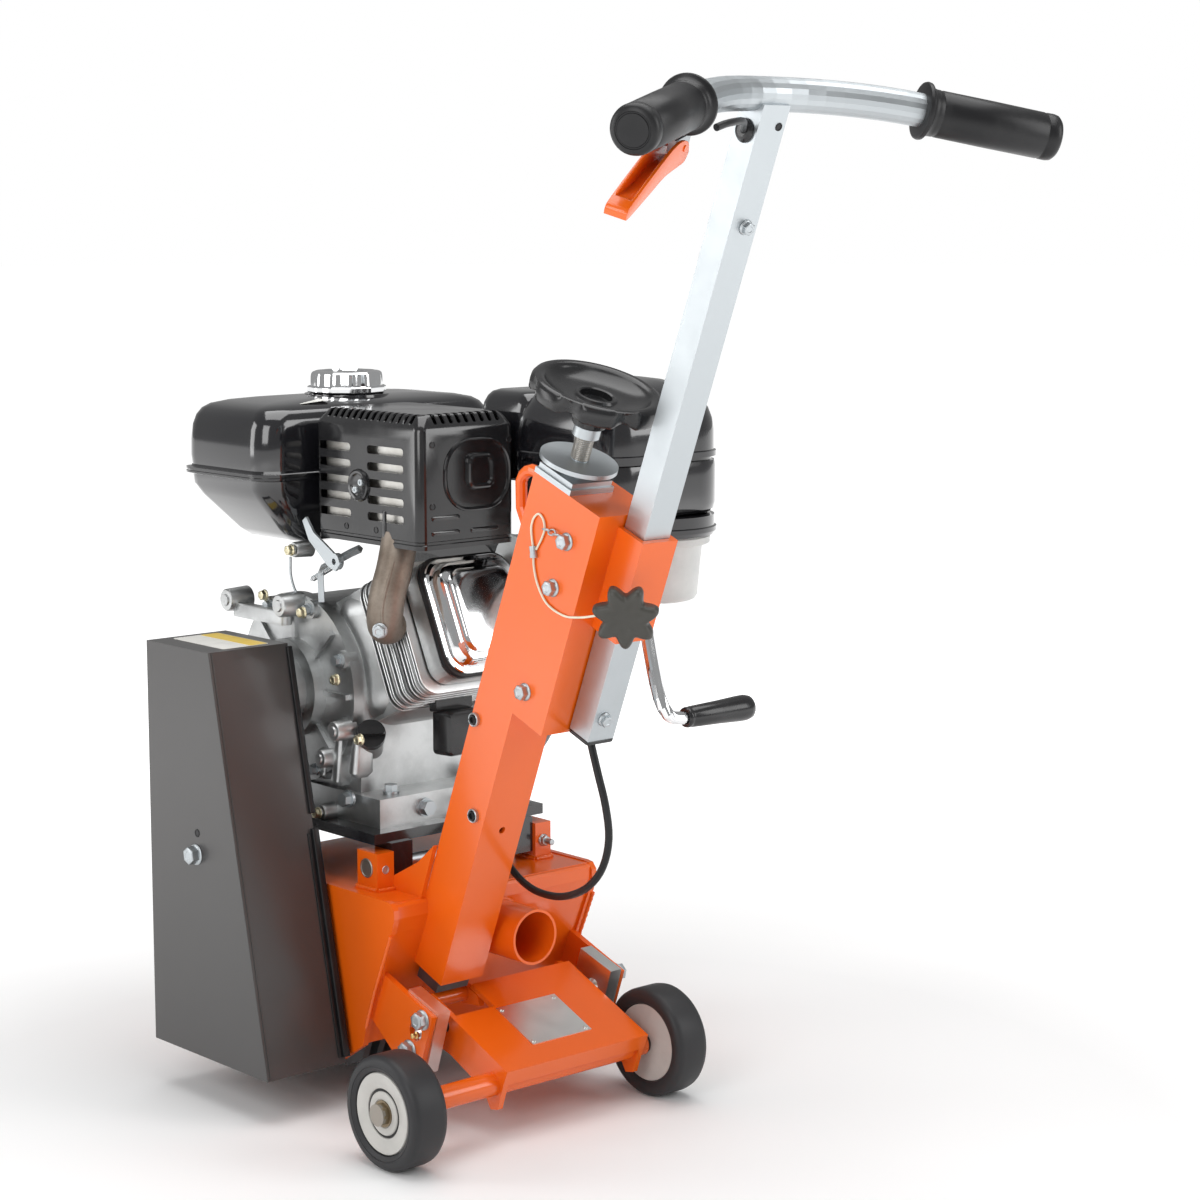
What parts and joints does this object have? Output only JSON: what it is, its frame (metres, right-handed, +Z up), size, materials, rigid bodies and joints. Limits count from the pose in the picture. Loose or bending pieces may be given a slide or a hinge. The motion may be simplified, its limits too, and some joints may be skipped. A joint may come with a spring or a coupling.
{
  "type": "walk-behind concrete floor planer",
  "caption": "Walk-behind concrete floor planer: petrol engine on a cutter drum housing, belt guard, leaning post with depth handwheel, wheeled axle arm and sliding T-handle.",
  "frame": {"origin": "on the ground, under the rear axle, midway between the rear wheels; it is also the bottom centre of the whole box", "axes": "+X to the operator's right, +Y in the direction of travel, away from the operator, +Z up"},
  "size_m": [0.4912, 0.8252, 0.952],
  "materials": {
    "orange_paint": "glossy powder coat",
    "guard_paint": "satin dark grey paint",
    "black_paint": "glossy black paint",
    "zinc": "bright zinc plate",
    "steel": "plain machined steel",
    "chrome": "polished chrome",
    "cast_alloy": "as-cast aluminium",
    "iron": "grey iron",
    "exhaust_steel": "heat-stained exhaust metal",
    "black_plastic": "black moulded plastic",
    "gloss_shell": "gloss black shell",
    "bowl_plastic": "translucent white plastic",
    "rubber": "soft black rubber",
    "tyre_rubber": "smooth grey rubber",
    "rim_steel": "light grey rim",
    "knob_plastic": "dark textured plastic",
    "cord": "cream coated wire"
  },
  "bodies": {
    "chassis": {"housing": "orange_paint", "pivot_blocks": "zinc", "frame_bolts": "zinc", "vacuum_port": "orange_paint", "post": "orange_paint", "post_cap_plates": "zinc", "lifting_loop": "orange_paint", "mast_bracket": "orange_paint", "hinge_pin": "zinc", "engine_plate": "black_paint", "skirt": "rubber", "guard_cover": "guard_paint", "guard_back": "black_paint", "drum_bearings": "iron", "drive_belts": "rubber", "lanyard": "cord", "stop_cable": "rubber", "crankcase": "cast_alloy", "side_cover": "cast_alloy", "cylinder_block": "cast_alloy", "valve_cover": "chrome", "exhaust_pipe": "exhaust_steel", "muffler": "exhaust_steel", "muffler_guard": "black_paint", "fuel_tank": "gloss_shell", "air_cleaner": "black_plastic", "cleaner_bowl": "bowl_plastic", "carburettor": "cast_alloy", "fan_housing": "gloss_shell", "engine_bolts": "zinc"},
    "fuel_cap": {"fuel_cap": "chrome"},
    "dipstick": {"dipstick": "black_plastic"},
    "throttle": {"throttle_lever": "zinc"},
    "choke": {"choke_lever": "black_plastic"},
    "starter": {"starter_grip": "black_plastic"},
    "crank": {"crank_pulley": "iron"},
    "drum": {"drum_shaft": "steel", "drum_cage": "iron", "cutters": "iron"},
    "front_wheelset": {"front_axle": "zinc", "front_wheels": "rubber"},
    "arm": {"axle_arm": "orange_paint", "name_plate": "zinc", "axle_rod": "steel"},
    "wheel_left": {"rim_left": "rim_steel", "tyre_left": "tyre_rubber"},
    "wheel_right": {"rim_right": "rim_steel", "tyre_right": "tyre_rubber"},
    "spindle_carrier": {"spindle_foot": "iron"},
    "spindle": {"spindle": "zinc", "handwheel": "black_plastic"},
    "lock_disc": {"lock_disc": "zinc"},
    "lever": {"lift_lever": "chrome"},
    "lever_grip": {"lever_grip": "black_plastic"},
    "mast": {"mast": "zinc", "bar_grips": "rubber", "opc_clamp": "zinc", "mast_cap": "rubber"},
    "opc_lever": {"opc_lever": "orange_paint"},
    "knob": {"clamp_knob": "knob_plastic"}
  },
  "joints": [
    {"name": "arm_swing", "type": "hinge", "parent": "chassis", "child": "arm", "pos_m": [0.038, 0.0706, 0.093], "axis": [1, 0, 0], "range_deg": [-16, 5]},
    {"name": "wheel_left_spin", "type": "hinge", "parent": "arm", "child": "wheel_left", "pos_m": [-0.158, 0, 0.0525], "axis": [1, 0, 0], "continuous": true},
    {"name": "wheel_right_spin", "type": "hinge", "parent": "arm", "child": "wheel_right", "pos_m": [0.158, 0, 0.0525], "axis": [1, 0, 0], "continuous": true},
    {"name": "front_wheels_spin", "type": "hinge", "parent": "chassis", "child": "front_wheelset", "pos_m": [0.038, 0.3836, 0.028], "axis": [1, 0, 0], "continuous": true},
    {"name": "drum_spin", "type": "hinge", "parent": "chassis", "child": "drum", "pos_m": [0.038, 0.25, 0.102], "axis": [1, 0, 0], "continuous": true},
    {"name": "crank_spin", "type": "hinge", "parent": "chassis", "child": "crank", "pos_m": [-0.06, 0.29, 0.384], "axis": [1, 0, 0], "continuous": true},
    {"name": "spindle_slide", "type": "slide", "parent": "chassis", "child": "spindle_carrier", "axis": [0, -0.3616, 0.9323], "range_m": [-0.0125, 0.004]},
    {"name": "handwheel_turn", "type": "hinge", "parent": "spindle_carrier", "child": "spindle", "pos_m": [-0.0205, -0.10152, 0.65886], "axis": [0, -0.3616, 0.9323], "range_deg": [-1115, 350]},
    {"name": "lock_disc_turn", "type": "hinge", "parent": "chassis", "child": "lock_disc", "pos_m": [-0.0205, -0.08995, 0.62903], "axis": [0, -0.3616, 0.9323], "range_deg": [0, 360]},
    {"name": "lift_lever_swing", "type": "hinge", "parent": "chassis", "child": "lever", "pos_m": [0.04, -0.08404, 0.51977], "axis": [1, 0, 0], "range_deg": [-100, 0]},
    {"name": "lever_grip_spin", "type": "hinge", "parent": "lever", "child": "lever_grip", "pos_m": [0.118, -0.119, 0.394], "axis": [1, 0, 0], "continuous": true},
    {"name": "mast_slide", "type": "slide", "parent": "chassis", "child": "mast", "axis": [0, -0.3616, 0.9323], "range_m": [0, 0.08]},
    {"name": "safety_lever_squeeze", "type": "hinge", "parent": "mast", "child": "opc_lever", "pos_m": [-0.14362, -0.33987, 0.8955], "axis": [-0.4776, 0.8243, 0.3038], "range_deg": [0, 11], "stiffness_Nm_per_rad": 2, "springref_deg": -5.73},
    {"name": "clamp_knob_turn", "type": "hinge", "parent": "chassis", "child": "knob", "pos_m": [-0.03535, -0.16735, 0.50462], "axis": [-0.7071, -0.6593, -0.2557], "range_deg": [0, 720]},
    {"name": "fuel_cap_turn", "type": "hinge", "parent": "chassis", "child": "fuel_cap", "pos_m": [0.048, 0.3381, 0.674], "axis": [0, 0, 1], "range_deg": [0, 90]},
    {"name": "dipstick_turn", "type": "hinge", "parent": "chassis", "child": "dipstick", "pos_m": [-0.04187, 0.18562, 0.35], "axis": [-0.4967, -0.7094, 0.5], "range_deg": [0, 720]},
    {"name": "throttle_swing", "type": "hinge", "parent": "chassis", "child": "throttle", "pos_m": [-0.054, 0.222, 0.513], "axis": [1, 0, 0], "range_deg": [0, 30]},
    {"name": "choke_swing", "type": "hinge", "parent": "chassis", "child": "choke", "pos_m": [0.132, 0.088, 0.54], "axis": [0, -1, 0], "range_deg": [0, 26]},
    {"name": "starter_pull", "type": "slide", "parent": "chassis", "child": "starter", "axis": [0, -0.7071, 0.7071], "range_m": [0, 0.07], "stiffness_N_per_m": 60, "springref_m": -0.02}
  ],
  "couplings": [
    {"joint": "crank_spin", "follows": "drum_spin", "ratio": 1.26},
    {"joint": "spindle_slide", "follows": "arm_swing", "m_per_rad": 0.0441},
    {"joint": "handwheel_turn", "follows": "arm_swing", "ratio": 69.27}
  ]
}
